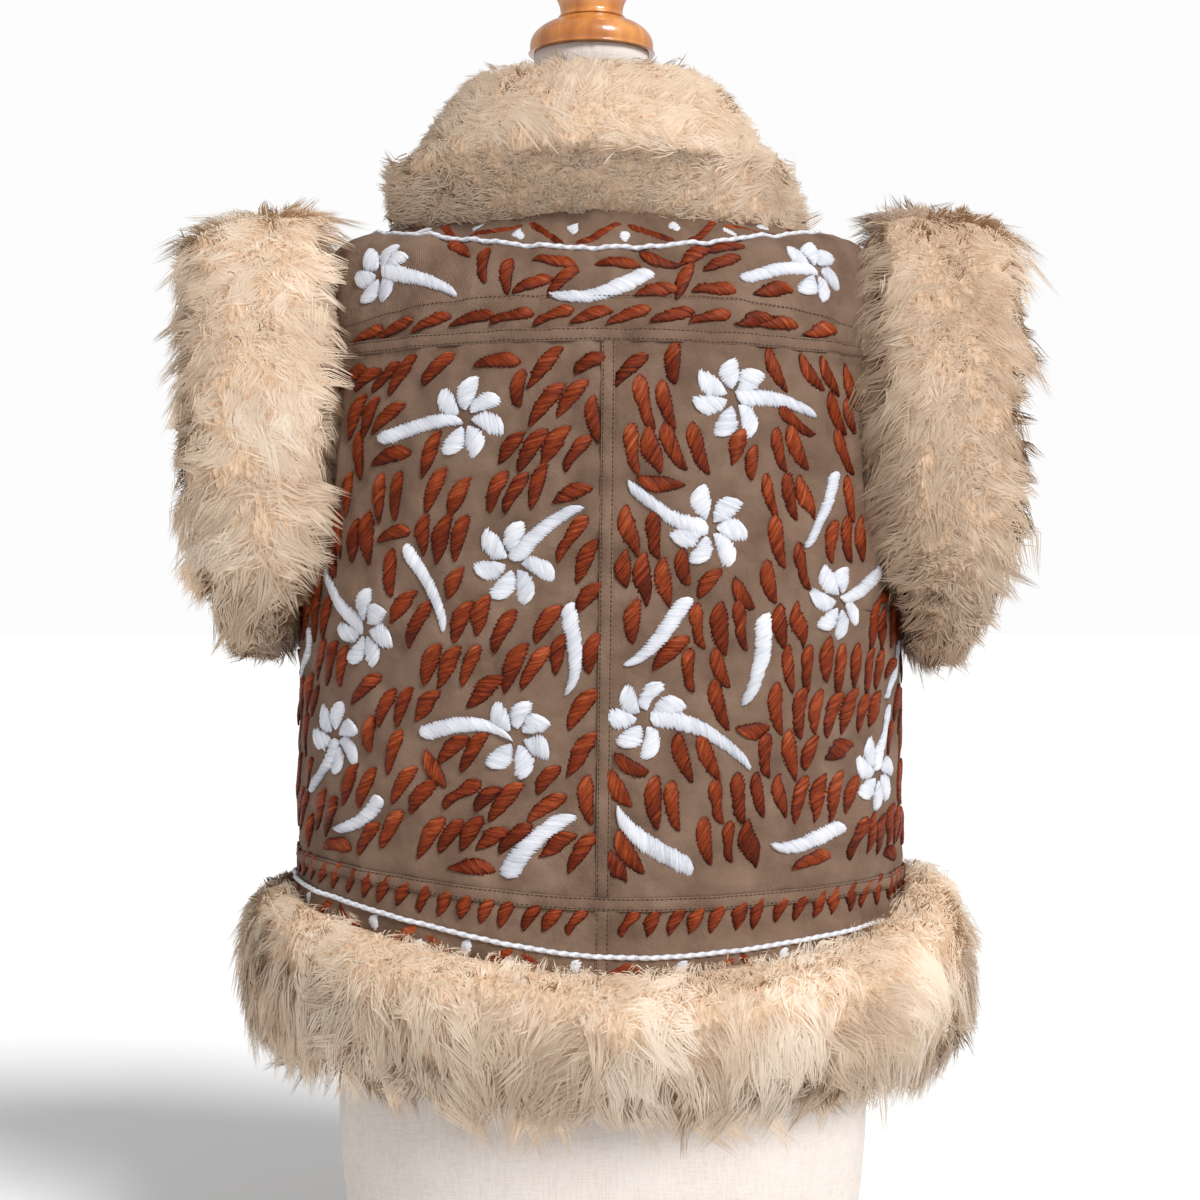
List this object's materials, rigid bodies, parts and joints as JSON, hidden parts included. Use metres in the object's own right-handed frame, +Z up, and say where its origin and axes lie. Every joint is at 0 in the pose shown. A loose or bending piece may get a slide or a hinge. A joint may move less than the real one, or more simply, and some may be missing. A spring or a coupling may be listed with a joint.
{
  "type": "embroidered fur-trimmed folk vest on a limbless dress form",
  "caption": "Open-fronted quilted folk vest with satin-stitch embroidery and fur collar, armhole and hem trims, standing on a linen dress form with a turned wooden cap.",
  "frame": {"origin": "middle of the dress form's flat base, on the floor", "axes": "+Z up; the vest's back faces -Y and its front opening faces +Y; +X is the wearer's right"},
  "size_m": [0.6016, 0.3905, 0.968],
  "materials": {
    "quilted_cloth": "taupe brushed cotton with a soft padding, embroidered",
    "turned_strip": "taupe brushed cotton, turned under and topstitched",
    "fur": "cream and beige long-haired pile",
    "linen": "off-white plain-woven linen",
    "varnished_wood": "orange-brown varnished turned wood"
  },
  "bodies": {
    "root": {"back_left": "quilted_cloth", "back_right": "quilted_cloth", "hem_band_back_left": "quilted_cloth", "hem_band_back_right": "quilted_cloth", "front_left": "quilted_cloth", "front_right": "quilted_cloth", "hem_band_front_left": "quilted_cloth", "hem_band_front_right": "quilted_cloth", "yoke": "quilted_cloth", "back_strip": "turned_strip", "hem_band_back_strip": "turned_strip", "yoke_strip": "turned_strip", "band_strip_back": "turned_strip", "band_strip_front_left": "turned_strip", "band_strip_front_right": "turned_strip", "front_edge_strip_left": "turned_strip", "front_edge_strip_right": "turned_strip", "fur_collar": "fur", "fur_hem": "fur", "fur_armhole_left": "fur", "fur_armhole_right": "fur", "form_torso": "linen", "form_base": "varnished_wood", "neck_cap": "varnished_wood", "neck_knob": "varnished_wood"}
  },
  "joints": []
}
